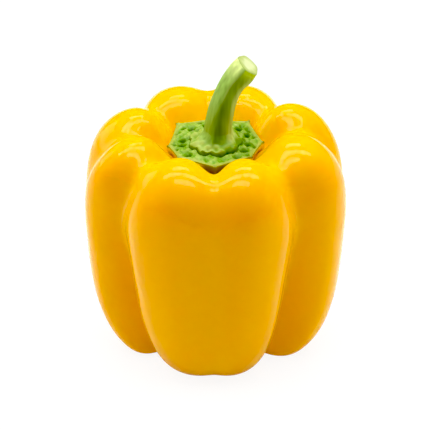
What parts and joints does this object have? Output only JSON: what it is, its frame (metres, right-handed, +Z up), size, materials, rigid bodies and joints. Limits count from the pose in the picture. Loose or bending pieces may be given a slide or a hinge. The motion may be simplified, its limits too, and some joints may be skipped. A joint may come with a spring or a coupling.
{
  "type": "bell pepper",
  "caption": "Blocky bell pepper with deep lobes, a sunken angular calyx and a short curved stalk, standing on the feet of its lobes.",
  "frame": {"origin": "on the surface that the pepper stands on, under the middle of the fruit", "axes": "+Z up through the fruit's middle, -Y towards the broad lobe that the picture shows in front, +X to the picture's right, where the stalk bends"},
  "size_m": [0.0832, 0.0782, 0.1044],
  "materials": {
    "skin": "smooth waxy yellow skin, glossy",
    "green": "soft satin green, paler at the cut end"
  },
  "bodies": {
    "root": {"fruit": "skin", "calyx_and_stalk": "green"}
  },
  "joints": []
}
